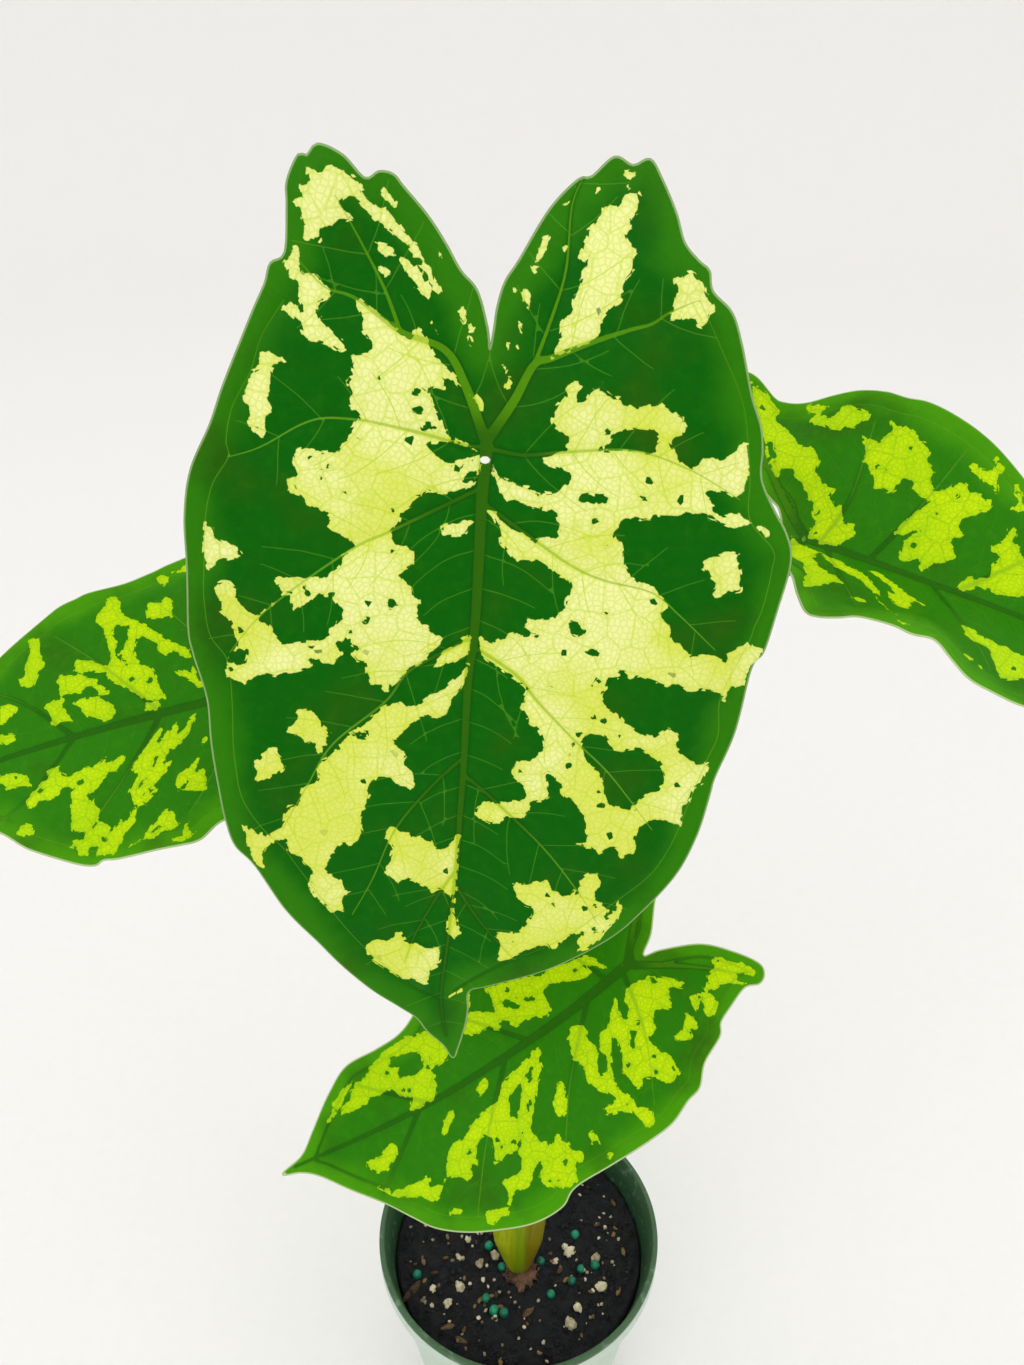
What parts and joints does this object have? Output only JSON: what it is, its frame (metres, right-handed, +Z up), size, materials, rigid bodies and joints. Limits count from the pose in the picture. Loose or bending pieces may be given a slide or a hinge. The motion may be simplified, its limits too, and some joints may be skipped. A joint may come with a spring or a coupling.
{
  "type": "potted caladium plant",
  "caption": "Heart-shaped camouflage-patterned leaves on tall arching stalks, growing from soil in a thin tapered nursery pot.",
  "frame": {"origin": "centre of the pot's flat underside", "axes": "+Z up the plant; -Y towards the front, where the tallest leaf shows its upper face; +X to the viewer's right"},
  "size_m": [0.3389, 0.1201, 0.4745],
  "materials": {
    "pot": "satin",
    "soil": "matte",
    "corm": "matte",
    "stalk": "satin",
    "blade": "satin"
  },
  "bodies": {
    "root": {"pot": "pot", "soil": "soil", "corm": "corm", "stalk_front": "stalk", "blade_front": "blade", "stalk_left": "stalk", "blade_left": "blade", "stalk_right": "stalk", "blade_right": "blade", "stalk_lower": "stalk", "blade_lower": "blade"}
  },
  "joints": []
}
